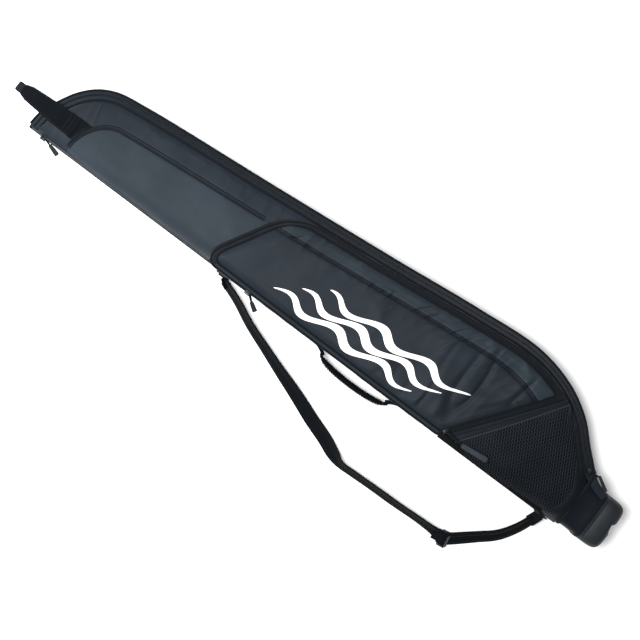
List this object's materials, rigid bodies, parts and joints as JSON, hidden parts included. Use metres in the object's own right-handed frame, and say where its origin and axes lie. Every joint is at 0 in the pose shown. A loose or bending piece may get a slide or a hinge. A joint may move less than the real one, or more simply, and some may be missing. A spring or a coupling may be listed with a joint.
{
  "type": "rod case",
  "caption": "Padded fishing rod case with a side zip, a zipped front pocket, a mesh pocket, a tip loop, a carry handle and a shoulder strap.",
  "frame": {"origin": "on the flat back face, half way from the tip to the butt and 90 mm in from the spine", "axes": "+X from the tip to the butt, +Y from the spine to the zip side, +Z out through the front face"},
  "size_m": [1.3005, 0.388, 0.1276],
  "materials": {
    "shell": "matte coated polyester, fine weave",
    "dark_shell": "matte coated polyester, fine weave",
    "edge": "ribbed binding tape",
    "coil": "nylon zip coil",
    "foam": "brushed tricot over foam",
    "mesh": "open mesh",
    "web": "woven webbing",
    "rubber": "moulded, slightly glossy",
    "metal": "black coated zinc",
    "pull": "soft moulded puller"
  },
  "bodies": {
    "tray": {"back_panel": "dark_shell", "tray_lining": "foam", "spine_wall": "dark_shell", "zip_side_wall": "dark_shell", "rim_binding": "edge", "main_zip_tape_tray": "edge", "main_zip_coil_tray": "coil", "rod_belt_tip": "web", "rod_belt_butt": "web", "tip_cushion": "foam", "reel_cushion": "foam", "butt_collar": "dark_shell", "butt_cap": "rubber", "butt_foam": "foam", "handle_anchor_front": "web", "handle_anchor_rear": "web", "strap_anchor_front": "web", "strap_anchor_rear": "web", "strap_ring_front": "metal", "strap_ring_rear": "metal", "strap_long": "web", "strap_short": "web", "strap_adjuster": "rubber"},
    "lid": {"front_panel_outer": "dark_shell", "front_panel_inner": "shell", "lid_lining": "foam", "front_seam_tape": "dark_shell", "main_zip_coil_lid": "coil", "main_zip_tape_lid": "edge", "front_piping": "edge", "pocket_gusset": "dark_shell", "pocket_coil_lower": "coil", "mesh_panel": "mesh", "mesh_top_band": "edge", "mesh_binding": "edge", "tip_loop_patch": "web"},
    "pocket_flap": {"pocket_coil_upper": "coil", "pocket_piping": "edge", "pocket_panel_inner": "shell", "pocket_panel_outer": "dark_shell", "pocket_seam_tape": "dark_shell"},
    "tip_loop": {"tip_loop_web": "web", "tip_loop_end": "web"},
    "carry_handle": {"handle_web": "web"},
    "tip_zip_slider": {"tip_slider": "metal"},
    "tip_zip_puller": {"tip_puller_cord": "pull", "tip_puller_grip": "pull"},
    "butt_zip_slider": {"butt_slider": "metal"},
    "butt_zip_puller": {"butt_puller": "pull"},
    "pocket_zip_slider_tip": {"pocket_slider_tip": "metal"},
    "pocket_zip_puller_tip": {"pocket_puller_tip": "pull"},
    "pocket_zip_slider_butt": {"pocket_slider_butt": "metal"},
    "pocket_zip_puller_butt": {"pocket_puller_butt": "pull"}
  },
  "joints": [
    {"name": "lid_hinge", "type": "hinge", "parent": "tray", "child": "lid", "pos_m": [0, -0.09, 0.05], "axis": [1, 0, 0], "range_deg": [0, 95]},
    {"name": "pocket_flap_hinge", "type": "hinge", "parent": "lid", "child": "pocket_flap", "pos_m": [0.0205, -0.0854, 0.1072], "axis": [0.9991, 0, 0.0425], "range_deg": [0, 55]},
    {"name": "tip_loop_swing", "type": "hinge", "parent": "lid", "child": "tip_loop", "pos_m": [-0.548, -0.046, 0.0783], "axis": [0, 1, 0], "range_deg": [0, 150]},
    {"name": "handle_swing", "type": "hinge", "parent": "tray", "child": "carry_handle", "pos_m": [0.105, -0.102, 0.025], "axis": [1, 0, 0], "range_deg": [-45, 45]},
    {"name": "tip_slider_slide", "type": "slide", "parent": "lid", "child": "tip_zip_slider", "axis": [-1, 0, 0], "range_m": [0, 0.022]},
    {"name": "tip_puller_swing", "type": "hinge", "parent": "tip_zip_slider", "child": "tip_zip_puller", "pos_m": [-0.579, -0.094, 0.0595], "axis": [-0.287, -0.9579, 0], "range_deg": [0, 110]},
    {"name": "butt_slider_slide", "type": "slide", "parent": "lid", "child": "butt_zip_slider", "axis": [-0.769, 0.6342, 0.0799], "range_m": [0, 0.024]},
    {"name": "butt_puller_swing", "type": "hinge", "parent": "butt_zip_slider", "child": "butt_zip_puller", "pos_m": [0.5484, 0.0243, 0.0664], "axis": [-0.5151, -0.8571, 0], "range_deg": [0, 100]},
    {"name": "pocket_slider_tip_slide", "type": "slide", "parent": "lid", "child": "pocket_zip_slider_tip", "axis": [-0.9993, 0, -0.038], "range_m": [0, 0.06]},
    {"name": "pocket_puller_tip_swing", "type": "hinge", "parent": "pocket_zip_slider_tip", "child": "pocket_zip_puller_tip", "pos_m": [-0.1245, -0.1005, 0.101], "axis": [-0.5342, -0.8453, 0], "range_deg": [0, 110]},
    {"name": "pocket_slider_butt_slide", "type": "slide", "parent": "pocket_flap", "child": "pocket_zip_slider_butt", "axis": [0.6159, 0.7878, 0], "range_m": [0, 0.05]},
    {"name": "pocket_puller_butt_swing", "type": "hinge", "parent": "pocket_zip_slider_butt", "child": "pocket_zip_puller_butt", "pos_m": [0.3067, -0.0828, 0.1245], "axis": [0.1045, -0.9945, 0], "range_deg": [0, 110]}
  ]
}
